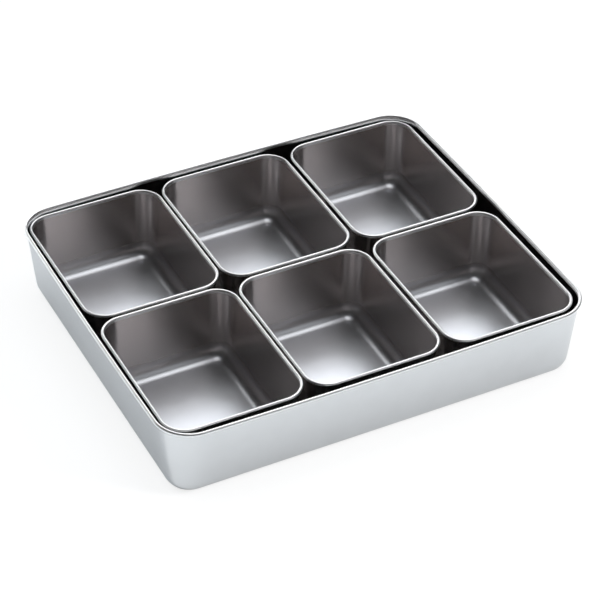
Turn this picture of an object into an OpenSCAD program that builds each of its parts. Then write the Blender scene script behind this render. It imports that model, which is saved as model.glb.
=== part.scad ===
// Garnish tray: one deep-drawn steel tray with a curled rim and six loose deep-drawn pans standing in it.
// Millimetres. The origin is at the centre of the tray's underside, +X along the long side, +Z up.

/* [Insert pans] */
// Length of one pan over its rim, along the tray's long side
pan_len = 102.2; // [80:0.2:130]
// Width of one pan over its rim, from front to back
pan_wid = 128; // [90:0.5:160]
// Height of one pan over its rim
pan_h = 55.6; // [40:0.2:80]
// Plan radius of a pan's corners, at the outer edge of its rim
pan_corner_r = 17.6; // [17:0.2:30]
// Slope of a pan's walls, from upright
pan_draft = 4.8; // [3.5:0.1:5.2]
// Outer radius of the bend between a pan's walls and its floor
pan_foot_r = 10; // [6:0.5:10.5]
// Thickness of the pans' sheet
pan_sheet = 0.7; // [0.5:0.1:0.9]
// Diameter of the pans' rolled rim
pan_bead_d = 2.3; // [2.1:0.1:3]

/* [Outer tray] */
// How far the tray's rim stands above the pans' rims
rim_rise = 3.5; // [0.5:0.1:12]
// Plan radius of the tray's corners, at the outer edge of its rim
tray_corner_r = 26.5; // [23:0.5:36]
// Slope of the tray's walls, from upright
tray_draft = 6; // [3:0.5:7]
// Outer radius of the bend between the tray's walls and its floor
tray_foot_r = 12; // [8:0.5:14]
// Thickness of the tray's sheet
tray_sheet = 0.8; // [0.6:0.1:1]
// Diameter of the tray's rolled rim
tray_bead_d = 2.6; // [2.4:0.1:3.4]

/* [Layout] */
// Gap between the rims of two pans side by side
column_gap = 2.2; // [1:0.1:6]
// Gap between the rims of the two rows of pans
row_gap = 2.4; // [1:0.1:6]
// Free play of the pans' feet on the tray's floor, at each end
end_play = 2.9; // [0.8:0.1:6]
// Free play of the pans' feet on the tray's floor, at the front and at the back
side_play = 4.5; // [1.6:0.1:10]

/* [Hidden] */
columns = 3;
rows = 2;

// The rim curls from the wall over the top and under, to this far past straight down
curl_overrun = 12;
// Steps round the curl, round the bottom bend, and facets of a whole turn in plan
curl_steps = 14;
foot_steps = 7;
plan_fn = 72;

// The pans are loose, so each one stands a little off an even spacing.
// Shares of the free play that the whole set has slid, to the right and to the back
set_slide = [0, 0.66];
// Share of the column gap by which each column has slid, from left to right
column_slide = [0, -0.31, 0];
// Share of the row gap by which each pan has slid, in the front row and in the back row
row_slide = [[0, 0.05, -0.2], [-0.1, 0.05, -0.25]];

// Points along an arc about c, from angle a0 to angle a1
function arc(c, r, a0, a1, steps) =
    [for (i = [0:steps]) let (a = a0 + (a1 - a0) * i / steps) c + r * [cos(a), sin(a)]];

// Distance in from the rim's outer edge to where the floor lies flat
function foot_inset(h, draft, foot_r, sheet, bead_r) =
    let (drop = h - bead_r + (bead_r - sheet) * sin(draft) - foot_r)
    bead_r + (bead_r - sheet) * cos(draft) + (drop * sin(draft) + foot_r) / cos(draft);

// Rounded up to a tenth of a millimetre
function to_tenth(x) = ceil(x * 10) / 10;

tray_h = tray_sheet + pan_h + rim_rise;
foot_overhang = foot_inset(tray_h, tray_draft, tray_foot_r, tray_sheet, tray_bead_d / 2)
    - foot_inset(pan_h, pan_draft, pan_foot_r, pan_sheet, pan_bead_d / 2);
column_pitch = pan_len + column_gap;
row_pitch = pan_wid + row_gap;
tray_len = columns * column_pitch - column_gap + 2 * to_tenth(foot_overhang + end_play);
tray_wid = rows * row_pitch - row_gap + 2 * to_tenth(foot_overhang + side_play);

// Section through the sheet: curled rim, sloping wall, bottom bend and a strip of floor.
// The rim's outer edge is at x = rim_x and the underside at y = 0. The strip ends at x = strip_x.
module sheet_section(h, draft, foot_r, sheet, bead_r, rim_x, strip_x) {
    curl = [rim_x - bead_r, h - bead_r];
    foot = [rim_x - foot_inset(h, draft, foot_r, sheet, bead_r), foot_r];
    tip = -90 - curl_overrun;
    wall = 180 - draft;
    polygon(concat(
        arc(curl, bead_r, tip, wall, curl_steps),
        arc(foot, foot_r - sheet, -draft, -90, foot_steps),
        [[strip_x, sheet], [strip_x, 0]],
        arc(foot, foot_r, -90, -draft, foot_steps),
        arc(curl, bead_r - sheet, wall, tip, curl_steps)
    ));
}

// A tray drawn from one sheet, with its underside on z = 0
module drawn_tray(len, wid, h, corner_r, draft, foot_r, sheet, bead_r) {
    half = [len / 2, wid / 2];
    centre = half - [corner_r, corner_r];
    // Radius of the flat floor in a corner; the strips stop inside it and the floor plate laps over them
    flat_r = corner_r - foot_inset(h, draft, foot_r, sheet, bead_r);
    strip_end = 0.3 * flat_r;
    plate_lap = 0.6 * flat_r;
    for (side = [0:3]) {
        across = half[side % 2];
        along = centre[(side + 1) % 2];
        rotate([0, 0, 90 * side]) translate([0, along, 0]) rotate([90, 0, 0]) linear_extrude(height = 2 * along)
            sheet_section(h, draft, foot_r, sheet, bead_r, across, across - corner_r + strip_end);
        rotate([0, 0, 90 * side]) translate([across - corner_r, along, 0]) rotate_extrude(angle = 90, $fn = plan_fn)
            sheet_section(h, draft, foot_r, sheet, bead_r, corner_r, strip_end);
    }
    plate = centre + [plate_lap, plate_lap];
    translate([-plate[0], -plate[1], 0]) cube([2 * plate[0], 2 * plate[1], sheet]);
}

module pan_at(column, row) color("silver") {
    x = (column - (columns - 1) / 2) * column_pitch + set_slide[0] * end_play
        + column_slide[column] * column_gap;
    y = (row - (rows - 1) / 2) * row_pitch + set_slide[1] * side_play + row_slide[row][column] * row_gap;
    translate([x, y, tray_sheet])
        drawn_tray(pan_len, pan_wid, pan_h, pan_corner_r, pan_draft, pan_foot_r, pan_sheet, pan_bead_d / 2);
}

module outer_tray() color("lightsteelblue")
    drawn_tray(tray_len, tray_wid, tray_h, tray_corner_r, tray_draft, tray_foot_r, tray_sheet, tray_bead_d / 2);
module pan_back_left() pan_at(0, 1);
module pan_back_middle() pan_at(1, 1);
module pan_back_right() pan_at(2, 1);
module pan_front_left() pan_at(0, 0);
module pan_front_middle() pan_at(1, 0);
module pan_front_right() pan_at(2, 0);

outer_tray();
pan_back_left();
pan_back_middle();
pan_back_right();
pan_front_left();
pan_front_middle();
pan_front_right();
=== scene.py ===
"""Garnish tray: a drawn steel tray with a curled rim, and six loose drawn pans standing in it."""

import math

import bmesh
import bpy
from bpy.props import FloatProperty, FloatVectorProperty, PointerProperty
from mathutils import Matrix, Vector


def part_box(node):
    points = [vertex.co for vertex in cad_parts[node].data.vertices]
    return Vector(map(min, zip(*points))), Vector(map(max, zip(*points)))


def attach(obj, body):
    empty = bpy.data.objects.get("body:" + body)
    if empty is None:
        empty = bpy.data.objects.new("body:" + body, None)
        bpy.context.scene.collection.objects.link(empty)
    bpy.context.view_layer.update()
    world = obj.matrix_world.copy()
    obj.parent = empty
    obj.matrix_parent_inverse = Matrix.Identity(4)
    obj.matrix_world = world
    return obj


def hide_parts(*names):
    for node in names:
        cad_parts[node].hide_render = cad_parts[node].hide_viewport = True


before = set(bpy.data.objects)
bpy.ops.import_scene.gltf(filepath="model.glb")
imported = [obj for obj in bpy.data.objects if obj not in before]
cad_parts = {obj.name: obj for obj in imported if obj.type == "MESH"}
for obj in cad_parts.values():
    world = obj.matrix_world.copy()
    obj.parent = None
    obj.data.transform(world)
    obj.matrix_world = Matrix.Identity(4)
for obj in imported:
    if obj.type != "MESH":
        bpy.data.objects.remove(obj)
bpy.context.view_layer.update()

bl_info = {
    "name": "Garnish tray",
    "version": (1, 0, 0),
    "blender": (4, 5, 0),
    "location": "View3D > Sidebar > Garnish tray",
    "description": "Models a drawn steel garnish tray with its six loose pans, and lights it",
    "category": "Object",
}

MM = 0.001
TRAY_NODE = "outer_tray"
PAN_NODES = sorted(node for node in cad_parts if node.startswith("pan_"))
TRAY_LOW, TRAY_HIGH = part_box(TRAY_NODE)
PAN_LOW, PAN_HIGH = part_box(PAN_NODES[0])


def length(name, description, default):
    """A size in metres that a user can change."""
    return FloatProperty(
        name=name, description=description, default=default, min=0.0, unit="LENGTH", precision=5
    )


def angle(name, description, degrees):
    """An angle that a user can change."""
    return FloatProperty(name=name, description=description, default=math.radians(degrees), unit="ROTATION")


def share(name, description, default):
    """A share between 0 and 1 that a user can change."""
    return FloatProperty(name=name, description=description, default=default, min=0.0, max=1.0)


def colour(name, description, default):
    """A colour that a user can change."""
    return FloatVectorProperty(name=name, description=description, default=default, size=3, subtype="COLOR")


class TraySizes(bpy.types.PropertyGroup):
    """Sizes of the outer tray."""

    rim_length: length("Length", "Over the rim, at the middle of the ends", TRAY_HIGH.x - TRAY_LOW.x)
    rim_width: length("Width", "Over the rim, at the middle of the long sides", TRAY_HIGH.y - TRAY_LOW.y)
    height: length("Height", "From the underside to the top of the rim", TRAY_HIGH.z - TRAY_LOW.z)
    corner: length("Corner radius", "In plan, at the rim's outer edge", 25.0 * MM)
    draft: angle("Draft", "Slope of the walls from upright", 6)
    foot: length("Foot radius", "Outer radius of the bend between wall and floor", 12 * MM)
    sheet: length("Sheet", "Thickness of the steel", 0.8 * MM)
    bead: length("Bead", "Diameter of the curled rim", 2.6 * MM)
    long_bow: length("Bow of the long sides", "How far their middles stand out at the rim", 1.8 * MM)
    end_bow: length("Bow of the ends", "How far their middles stand out at the rim", 1.4 * MM)
    base_inset: length("Base inset", "How far the base is drawn in from an unbowed tray", 0.6 * MM)


class PanSizes(bpy.types.PropertyGroup):
    """Sizes of one loose pan."""

    rim_length: length("Length", "Over the rim, along the tray", PAN_HIGH.x - PAN_LOW.x)
    rim_width: length("Width", "Over the rim, across the tray", PAN_HIGH.y - PAN_LOW.y)
    height: length("Height", "From the underside to the top of the rim", PAN_HIGH.z - PAN_LOW.z)
    corner: length("Corner radius", "In plan, at the rim's outer edge", 17.6 * MM)
    draft: angle("Draft", "Slope of the walls from upright", 4.8)
    foot: length("Foot radius", "Outer radius of the bend between wall and floor", 10 * MM)
    sheet: length("Sheet", "Thickness of the steel", 0.7 * MM)
    bead: length("Bead", "Diameter of the curled rim", 2.3 * MM)


class SteelFinish(bpy.types.PropertyGroup):
    """Colours and gloss of the steel; its floor, wall and rim colours hold painted light."""

    tray_colour: colour("Tray steel", "Reflected colour of the outer tray", (0.72, 0.73, 0.745))
    # Painted cool sheen: the pans' floors are coloured lighter and bluer than the same steel elsewhere, for
    # the light they mirror.
    floor_steel_and_sheen: colour("Floor steel", "Reflected colour of the pans' floors", (0.79, 0.81, 0.855))
    # Painted shade: the pans' walls are coloured darker and warmer than the same steel on their floors.
    wall_steel_and_shade: colour("Wall steel", "Reflected colour of the pans' walls", (0.62, 0.578, 0.562))
    # Painted highlight: the rims are coloured brighter than the steel elsewhere, so that they shine brighter.
    rim_steel_and_highlight: colour("Rim steel", "Reflected colour of the polished rims", (0.93, 0.935, 0.94))
    tray_roughness: share("Tray roughness", "Mean roughness of the tray", 0.15)
    floor_roughness: share("Floor roughness", "Roughness of the pans' floors", 0.36)
    bend_roughness: share("Bend roughness", "Roughness of the bend between a pan's floor and its walls", 0.36)
    wall_roughness: share("Wall roughness", "Roughness of the pans' walls", 0.26)
    rim_roughness: share("Rim roughness", "Roughness of the rims, which are rolled and buffed", 0.37)


class StageSetup(bpy.types.PropertyGroup):
    """Where the camera stands and how strong the light is."""

    camera_place: FloatVectorProperty(
        name="Camera", description="Where the camera stands",
        default=(-0.5812, -1.1147, 1.0259), subtype="XYZ"
    )
    camera_yaw: angle("Yaw", "Turn of the view from straight back towards the right", 27.617)
    camera_pitch: angle("Pitch", "Tilt of the view below level", 38.559)
    camera_roll: angle("Roll", "Turn of the view about its own line", 1.103)
    lens: FloatProperty(name="Lens", description="Focal length in millimetres", default=135.48)
    softbox: FloatProperty(name="Softbox", description="Brightness of the overhead softbox", default=1.6)
    haze: FloatProperty(name="Haze", description="Brightness of the screen the floors mirror", default=2.15)
    backdrop: FloatProperty(name="Backdrop", description="Brightness of the low backdrop behind", default=3.0)
    front_card: FloatProperty(name="Front card", description="Brightness of the card in front", default=0.68)
    fill: FloatProperty(name="Fill", description="Brightness of the lamp over the table", default=1.85)
    key: FloatProperty(name="Key", description="Brightness of the lamp at the front right", default=24.5)
    room: FloatProperty(name="Room", description="Brightness of the room round the table", default=0.02)


def start_point(name, place):
    """A new mesh of a single point, ready to draw a section from."""
    bpy.ops.object.select_all(action="DESELECT")
    bpy.ops.mesh.primitive_plane_add(size=MM, location=place)
    bpy.ops.object.transform_apply(location=True, rotation=True, scale=True)
    piece = bpy.context.object
    piece.name = name
    piece.data.name = name
    bpy.ops.object.mode_set(mode="EDIT")
    bpy.ops.mesh.select_mode(type="VERT")
    bpy.ops.mesh.select_all(action="SELECT")
    bpy.ops.mesh.merge(type="CENTER")
    return piece


def pull(way, steps=1):
    """Extrudes what is selected along a vector, in equal steps."""
    for _ in range(steps):
        bpy.ops.mesh.extrude_region_move(TRANSFORM_OT_translate={"value": Vector(way) / steps})


def select_points(piece, wanted):
    """Selects the points of the mesh in edit mode whose place passes a test, and nothing else."""
    bpy.ops.mesh.select_all(action="DESELECT")
    mesh = bmesh.from_edit_mesh(piece.data)
    for point in mesh.verts:
        point.select_set(wanted(point.co))
    mesh.select_flush(True)
    bmesh.update_edit_mesh(piece.data)


def apply_modifier(piece, kind, **settings):
    """Adds a modifier with these settings and applies it."""
    bpy.context.view_layer.objects.active = piece
    modifier = piece.modifiers.new(kind.title(), kind)
    for name, value in settings.items():
        setattr(modifier, name, value)
    bpy.ops.object.modifier_apply(modifier=modifier.name)


def draw_section(name, sizes, half, corner_y):
    """Draws the sheet's upper face in section on the +X side: the curl, the wall, then the foot."""
    curl_steps, foot_steps, wall_steps = 26, 14, 4
    holding = 0.6 * MM
    bead_r = sizes.bead / 2
    overrun = math.radians(12)
    curl = Vector((half - bead_r, corner_y, sizes.height - bead_r))
    tip = curl + bead_r * Vector((-math.sin(overrun), 0, -math.cos(overrun)))
    down_wall = Vector((-math.sin(sizes.draft), 0, -math.cos(sizes.draft)))
    out_of_wall = Vector((math.cos(sizes.draft), 0, -math.sin(sizes.draft)))
    wall_top = curl - bead_r * out_of_wall
    inner_foot = sizes.foot - sizes.sheet
    drop = wall_top.z - (sizes.foot + inner_foot * out_of_wall.z)
    wall = drop / math.cos(sizes.draft)

    piece = start_point(name, tip)
    turn = math.pi / 2 + overrun + math.pi - sizes.draft
    bpy.ops.mesh.spin(steps=curl_steps, angle=turn, center=curl, axis=(0, 1, 0))
    pull(down_wall * holding)
    pull(down_wall * (wall - 2 * holding), wall_steps)
    pull(down_wall * holding)
    foot = wall_top + down_wall * wall - inner_foot * out_of_wall
    bpy.ops.mesh.spin(steps=foot_steps, angle=math.pi / 2 - sizes.draft, center=foot, axis=(0, -1, 0))
    pull((-holding, 0, 0))
    pull((half - sizes.corner - foot.x + holding, 0, 0))
    return piece


def drawn_shell(name, sizes, half_x, half_y, side_steps):
    """A tray drawn from one sheet: a section spun round a corner, pulled along two sides, and mirrored."""
    corner_steps = 22
    near = 0.01 * MM
    centre_x = half_x - sizes.corner
    centre_y = half_y - sizes.corner
    piece = draw_section(name, sizes, half_x, centre_y)
    bpy.ops.mesh.select_all(action="SELECT")
    bpy.ops.mesh.spin(steps=corner_steps, angle=math.pi / 2, center=(centre_x, centre_y, 0), axis=(0, 0, -1))
    bpy.ops.mesh.select_all(action="SELECT")
    bpy.ops.mesh.remove_doubles(threshold=near)
    select_points(piece, lambda co: abs(co.y - centre_y) < near and co.x > centre_x - near)
    pull((0, -centre_y, 0), side_steps)
    select_points(piece, lambda co: abs(co.x - centre_x) < near and co.y > centre_y - near)
    pull((-centre_x, 0, 0), side_steps)
    floor = sizes.sheet + near
    select_points(piece, lambda co: abs(co.x - centre_x) < near and co.y < centre_y + near and co.z < floor)
    pull((-centre_x, 0, 0), side_steps)
    bpy.ops.mesh.select_all(action="SELECT")
    bpy.ops.mesh.remove_doubles(threshold=near)
    bpy.ops.object.mode_set(mode="OBJECT")
    apply_modifier(piece, "MIRROR", use_axis=(True, True, False), merge_threshold=near)
    face_up(piece)
    return piece


def face_up(piece):
    """Turns the faces of an open shell so that its floor looks up."""
    bpy.ops.object.mode_set(mode="EDIT")
    bpy.ops.mesh.select_all(action="SELECT")
    bpy.ops.mesh.remove_doubles(threshold=0.01 * MM)
    bpy.ops.mesh.normals_make_consistent(inside=False)
    bpy.ops.object.mode_set(mode="OBJECT")
    lowest = min(piece.data.polygons, key=lambda face: face.center.z)
    if lowest.normal.z < 0:
        bpy.ops.object.mode_set(mode="EDIT")
        bpy.ops.mesh.flip_normals()
        bpy.ops.object.mode_set(mode="OBJECT")


def thicken(piece, sizes):
    """Gives the drawn face its sheet's thickness and smooths its shading."""
    apply_modifier(piece, "SOLIDIFY", thickness=sizes.sheet, offset=-1.0, use_even_offset=True)
    bpy.ops.object.shade_smooth_by_angle(angle=math.radians(40))


def bow_sides(piece, sizes, half_x, half_y):
    """Spreads the rim with a lattice, to its full size at the middle of each side and less at the corners."""
    across = 9
    bpy.ops.object.select_all(action="DESELECT")
    bpy.ops.object.add(type="LATTICE", location=(0, 0, sizes.height / 2))
    cage = bpy.context.object
    cage.scale = (2 * half_x, 2 * half_y, sizes.height)
    cage.data.points_u = across
    cage.data.points_v = across
    cage.data.points_w = 2
    cage.data.interpolation_type_u = "KEY_CATMULL_ROM"
    cage.data.interpolation_type_v = "KEY_CATMULL_ROM"
    cage.data.interpolation_type_w = "KEY_LINEAR"
    for point in cage.data.points:
        u, v, w = point.co * 2
        high = (w + 1) / 2
        point.co_deform.x += u * high * (sizes.base_inset - v * v * sizes.end_bow) / (2 * half_x)
        point.co_deform.y += v * high * (sizes.base_inset - u * u * sizes.long_bow) / (2 * half_y)
    bpy.context.view_layer.update()
    apply_modifier(piece, "LATTICE", object=cage)
    bpy.data.objects.remove(cage)


def dress(piece, material, body, node):
    """Gives a finished piece its material and its body, and hides the node that it stands for."""
    piece.data.materials.clear()
    piece.data.materials.append(material)
    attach(piece, body)
    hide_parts(node)


def node_at(tree, kind, **settings):
    """A new shader node with its settings and its unlinked inputs."""
    node = tree.nodes.new(kind)
    inputs = settings.pop("inputs", {})
    for name, value in settings.items():
        setattr(node, name, value)
    for name, value in inputs.items():
        node.inputs[name].default_value = value
    return node


def streaks(tree, coords, stretch, scale, detail):
    """Noise drawn out along one axis, as rolling and drawing leave it in the sheet."""
    mapping = node_at(tree, "ShaderNodeMapping", inputs={"Scale": stretch})
    noise = node_at(tree, "ShaderNodeTexNoise", inputs={"Scale": scale, "Detail": detail, "Roughness": 0.6})
    tree.links.new(coords.outputs["Object"], mapping.inputs["Vector"])
    tree.links.new(mapping.outputs["Vector"], noise.inputs["Vector"])
    return noise.outputs["Fac"]


def spread(tree, value, low, high, start=0.3, end=0.7):
    """Maps a value from the range between start and end, by default a noise's usual one, to low and high."""
    limits = {"From Min": start, "From Max": end, "To Min": low, "To Max": high}
    mapped = node_at(tree, "ShaderNodeMapRange", inputs=limits)
    tree.links.new(value, mapped.inputs["Value"])
    return mapped.outputs["Result"]


def total(tree, first, second):
    """The sum of two values."""
    node = node_at(tree, "ShaderNodeMath", operation="ADD")
    tree.links.new(first, node.inputs[0])
    tree.links.new(second, node.inputs[1])
    return node.outputs[0]


def blended(tree, share_in, first, second):
    """A colour between two colours; each is a plain colour or another node's output."""
    node = node_at(tree, "ShaderNodeMix", data_type="RGBA")
    tree.links.new(share_in, node.inputs["Factor"])
    for socket, value in (("A", first), ("B", second)):
        if isinstance(value, bpy.types.NodeSocket):
            tree.links.new(value, node.inputs[socket])
        else:
            node.inputs[socket].default_value = (*value, 1.0)
    return node.outputs["Result"]


def steel(name, colours, rim_height, floor_rough, bend_rough, wall_rough, rim_rough):
    """Satin stainless steel: a smooth floor, soft bends, walls darkened by painted shade and a buffed rim
    brightened by a painted highlight; the floor also carries a painted cool sheen.
    """
    sheen_floor_tint, shaded_wall_tint, highlight_rim_tint = colours
    material = bpy.data.materials.new(name)
    material.use_nodes = True
    tree = material.node_tree
    shader = tree.nodes["Principled BSDF"]
    shader.inputs["Metallic"].default_value = 1.0
    coords = node_at(tree, "ShaderNodeTexCoord")
    split = node_at(tree, "ShaderNodeSeparateXYZ")
    tree.links.new(coords.outputs["Object"], split.inputs["Vector"])
    height = split.outputs["Z"]
    # Share of the wall colour, which paints shade on the walls, rising between 3 mm and 13 mm up.
    wall_shade_share = spread(tree, height, 0.0, 1.0, 3 * MM, 13 * MM)
    # Share of the rim colour, a painted highlight, rising over 0.3 mm up to the bead; it also sets the rim's
    # roughness.
    on_rim = spread(tree, height, 0.0, 1.0, rim_height - 0.3 * MM, rim_height)
    bands = streaks(tree, coords, (1.0, 1.0, 0.06), 70.0, 2.0)
    mottle = streaks(tree, coords, (1.0, 1.0, 1.0), 60.0, 4.0)

    tinted = node_at(tree, "ShaderNodeMix", data_type="RGBA", blend_type="MULTIPLY")
    tinted.inputs["Factor"].default_value = 1.0
    # Colour zoned by height: the floor with a painted cool sheen, the walls with painted shade and the rim
    # with a painted highlight.
    zoned_steel_and_light = blended(tree, on_rim, blended(tree, wall_shade_share, sheen_floor_tint, shaded_wall_tint), highlight_rim_tint)
    tree.links.new(zoned_steel_and_light, tinted.inputs["A"])
    tree.links.new(spread(tree, mottle, 0.975, 1.01), tinted.inputs["B"])
    tree.links.new(tinted.outputs["Result"], shader.inputs["Base Color"])

    rough = spread(tree, height, floor_rough, bend_rough, 1.6 * MM, 3 * MM)
    rough = total(tree, rough, spread(tree, height, 0.0, wall_rough - bend_rough, 8 * MM, 14 * MM))
    rough = total(tree, rough, spread(tree, on_rim, 0.0, rim_rough - wall_rough, 0.0, 1.0))
    rough = total(tree, rough, spread(tree, bands, -0.012, 0.012))
    tree.links.new(rough, shader.inputs["Roughness"])
    return material


class GARNISH_OT_outer_tray(bpy.types.Operator):
    """Models the outer tray: drawn walls, curled rim and sides that bow out a little at the rim"""

    bl_idname = "garnish.outer_tray"
    bl_label = "Outer tray"

    def execute(self, context):
        sizes = context.scene.garnish_tray
        finish = context.scene.garnish_finish
        half_x = sizes.rim_length / 2 - sizes.base_inset
        half_y = sizes.rim_width / 2 - sizes.base_inset
        piece = drawn_shell("tray_shell", sizes, half_x, half_y, side_steps=14)
        bow_sides(piece, sizes, half_x, half_y)
        thicken(piece, sizes)
        rough = finish.tray_roughness
        rim_height = TRAY_LOW.z + sizes.height - sizes.bead
        # The tray's walls and floor take the tray steel; its rim takes the rim colour, a painted highlight.
        colours = (finish.tray_colour, finish.tray_colour, finish.rim_steel_and_highlight)
        material = steel("tray steel", colours, rim_height, rough, rough, rough, finish.rim_roughness)
        dress(piece, material, "tray", TRAY_NODE)
        return {"FINISHED"}


class GARNISH_OT_pans(bpy.types.Operator):
    """Models one loose pan and stands a copy of it in each of the six places"""

    bl_idname = "garnish.pans"
    bl_label = "Pans"

    def execute(self, context):
        sizes = context.scene.garnish_pan
        finish = context.scene.garnish_finish
        pattern = drawn_shell("pan_shell", sizes, sizes.rim_length / 2, sizes.rim_width / 2, side_steps=4)
        thicken(pattern, sizes)
        rough = (finish.floor_roughness, finish.bend_roughness, finish.wall_roughness, finish.rim_roughness)
        # The pans take a painted cool sheen on their floors, painted shade on their walls and a painted
        # highlight on their rims.
        colours = (finish.floor_steel_and_sheen, finish.wall_steel_and_shade, finish.rim_steel_and_highlight)
        material = steel("pan steel", colours, PAN_LOW.z + sizes.height - sizes.bead, *rough)
        for node in PAN_NODES:
            low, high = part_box(node)
            bpy.ops.object.select_all(action="DESELECT")
            pattern.select_set(True)
            context.view_layer.objects.active = pattern
            bpy.ops.object.duplicate()
            pan = context.object
            pan.name = node + "_shell"
            pan.data.name = pan.name
            pan.location = ((low.x + high.x) / 2, (low.y + high.y) / 2, low.z)
            bpy.ops.object.transform_apply(location=True, rotation=True, scale=True)
            dress(pan, material, node, node)
        bpy.data.objects.remove(pattern)
        return {"FINISHED"}


def seen_as_white(tree, lit, white, glow):
    """Mixes a lit surface with plain white for the camera, keeping part of its shadows."""
    path = node_at(tree, "ShaderNodeLightPath")
    share = node_at(tree, "ShaderNodeMath", operation="MULTIPLY")
    share.inputs[1].default_value = white
    tree.links.new(path.outputs["Is Camera Ray"], share.inputs[0])
    emission = node_at(tree, "ShaderNodeEmission", inputs={"Color": (1, 1, 1, 1), "Strength": glow})
    mix = node_at(tree, "ShaderNodeMixShader")
    tree.links.new(share.outputs[0], mix.inputs["Fac"])
    tree.links.new(lit, mix.inputs[1])
    tree.links.new(emission.outputs[0], mix.inputs[2])
    return mix.outputs[0]


def add_floor():
    """A wide pale table that looks white and keeps a soft shadow."""
    bpy.ops.object.select_all(action="DESELECT")
    bpy.ops.mesh.primitive_plane_add(size=12, location=(0, 0, 0))
    floor = bpy.context.object
    floor.name = "stage_floor"
    material = bpy.data.materials.new("stage floor")
    material.use_nodes = True
    tree = material.node_tree
    tree.nodes.clear()
    paper = node_at(tree, "ShaderNodeBsdfDiffuse", inputs={"Color": (0.86, 0.87, 0.88, 1)})
    output = node_at(tree, "ShaderNodeOutputMaterial")
    tree.links.new(seen_as_white(tree, paper.outputs[0], 0.72, 1.1), output.inputs["Surface"])
    floor.data.materials.append(material)


def add_lamp(name, place, target, width, depth, brightness, tint, on_steel):
    """A rectangular lamp that looks at a target; it shows in the steel or lights the table, not both."""
    lamp = bpy.data.lights.new(name, "AREA")
    lamp.shape = "RECTANGLE"
    lamp.size = width
    lamp.size_y = depth
    lamp.energy = brightness * math.pi * width * depth
    lamp.color = tint
    holder = bpy.data.objects.new(name, lamp)
    bpy.context.scene.collection.objects.link(holder)
    holder.location = place
    holder.rotation_euler = (Vector(target) - Vector(place)).to_track_quat("-Z", "Y").to_euler()
    holder.visible_glossy = on_steel
    holder.visible_diffuse = not on_steel


def light_room(brightness):
    """The room round the table: dim to the steel, white to the camera."""
    world = bpy.data.worlds.new("room")
    bpy.context.scene.world = world
    world.use_nodes = True
    tree = world.node_tree
    tree.nodes.clear()
    looks = {"Color": (1.0, 0.97, 0.94, 1), "Strength": brightness}
    dim = node_at(tree, "ShaderNodeBackground", inputs=looks)
    white = node_at(tree, "ShaderNodeBackground", inputs={"Color": (1, 1, 1, 1), "Strength": 1.0})
    path = node_at(tree, "ShaderNodeLightPath")
    mix = node_at(tree, "ShaderNodeMixShader")
    output = node_at(tree, "ShaderNodeOutputWorld")
    tree.links.new(path.outputs["Is Camera Ray"], mix.inputs["Fac"])
    tree.links.new(dim.outputs[0], mix.inputs[1])
    tree.links.new(white.outputs[0], mix.inputs[2])
    tree.links.new(mix.outputs[0], output.inputs["Surface"])


def add_camera(setup):
    """The camera, turned from its yaw, pitch and roll."""
    yaw, pitch, roll = setup.camera_yaw, setup.camera_pitch, setup.camera_roll
    ahead = Vector((math.sin(yaw) * math.cos(pitch), math.cos(yaw) * math.cos(pitch), -math.sin(pitch)))
    level = Vector((math.cos(yaw), -math.sin(yaw), 0))
    upright = level.cross(ahead)
    right = level * math.cos(roll) + upright * math.sin(roll)
    up = upright * math.cos(roll) - level * math.sin(roll)
    camera = bpy.data.objects.new("camera", bpy.data.cameras.new("camera"))
    bpy.context.scene.collection.objects.link(camera)
    camera.data.lens = setup.lens
    camera.data.sensor_width = 36
    camera.location = setup.camera_place
    camera.rotation_euler = Matrix((right, up, -ahead)).transposed().to_euler()
    bpy.context.scene.camera = camera


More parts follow.
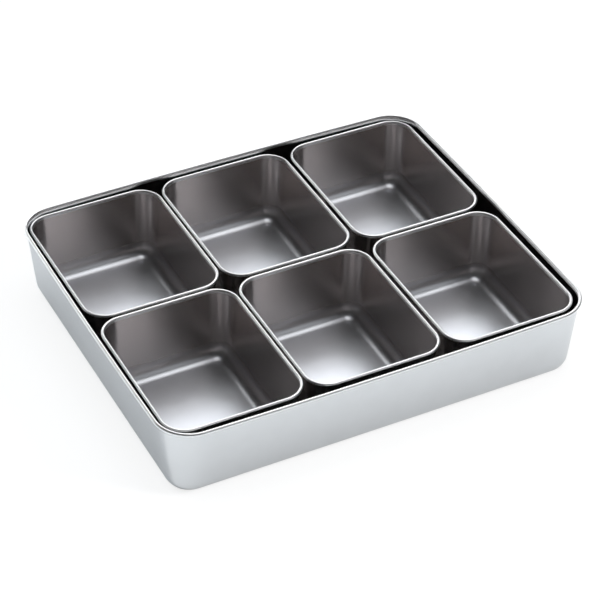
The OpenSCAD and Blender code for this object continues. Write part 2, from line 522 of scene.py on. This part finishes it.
class GARNISH_OT_stage(bpy.types.Operator):
    """Sets out the pale table, the soft light and the camera"""

    bl_idname = "garnish.stage"
    bl_label = "Stage"

    def execute(self, context):
        setup = context.scene.garnish_stage
        add_camera(setup)
        add_floor()
        light_room(setup.room)
        add_lamp("softbox", (0.9, 0.65, 2.2), (0.9, 0.65, 0), 2.4, 2.2, setup.softbox, (1, 1, 1), True)
        add_lamp("haze", (1.25, 2.05, 2.2), (0, 0, 0), 2.4, 0.8, setup.haze, (0.96, 0.98, 1.0), True)
        add_lamp("backdrop", (0, 3.2, 0.55), (0, 0, 0.55), 9, 1.1, setup.backdrop, (1, 1, 1), True)
        cool = (0.95, 0.97, 1.0)
        add_lamp("front_card", (1.2, -1.9, 2.0), (0, 0, 0), 1.3, 1.3, setup.front_card, cool, True)
        add_lamp("fill", (-0.5, 0.5, 3), (0, 0, 0), 5, 5, setup.fill, (0.94, 0.98, 1.0), False)
        add_lamp("key", (2.2, -1.8, 1.9), (0, 0, 0), 1, 1, setup.key, (1, 0.99, 0.97), False)
        context.scene.view_settings.view_transform = "Standard"
        return {"FINISHED"}


class GARNISH_PT_panel(bpy.types.Panel):
    """The steps that make the garnish tray, in order"""

    bl_idname = "GARNISH_PT_panel"
    bl_label = "Garnish tray"
    bl_space_type = "VIEW_3D"
    bl_region_type = "UI"
    bl_category = "Garnish tray"

    def draw(self, context):
        for operator in OPERATORS:
            self.layout.operator(operator.bl_idname)


OPERATORS = (GARNISH_OT_outer_tray, GARNISH_OT_pans, GARNISH_OT_stage)
GROUPS = {
    "garnish_tray": TraySizes,
    "garnish_pan": PanSizes,
    "garnish_finish": SteelFinish,
    "garnish_stage": StageSetup,
}


def register():
    for name, group in GROUPS.items():
        bpy.utils.register_class(group)
        setattr(bpy.types.Scene, name, PointerProperty(type=group))
    for operator in OPERATORS:
        bpy.utils.register_class(operator)
    bpy.utils.register_class(GARNISH_PT_panel)


def unregister():
    bpy.utils.unregister_class(GARNISH_PT_panel)
    for operator in reversed(OPERATORS):
        bpy.utils.unregister_class(operator)
    for name, group in reversed(GROUPS.items()):
        delattr(bpy.types.Scene, name)
        bpy.utils.unregister_class(group)


def main():
    """Makes the whole tray: the outer tray, the pans and the stage."""
    register()
    bpy.ops.garnish.outer_tray()
    bpy.ops.garnish.pans()
    bpy.ops.garnish.stage()


if __name__ == "__main__":
    main()
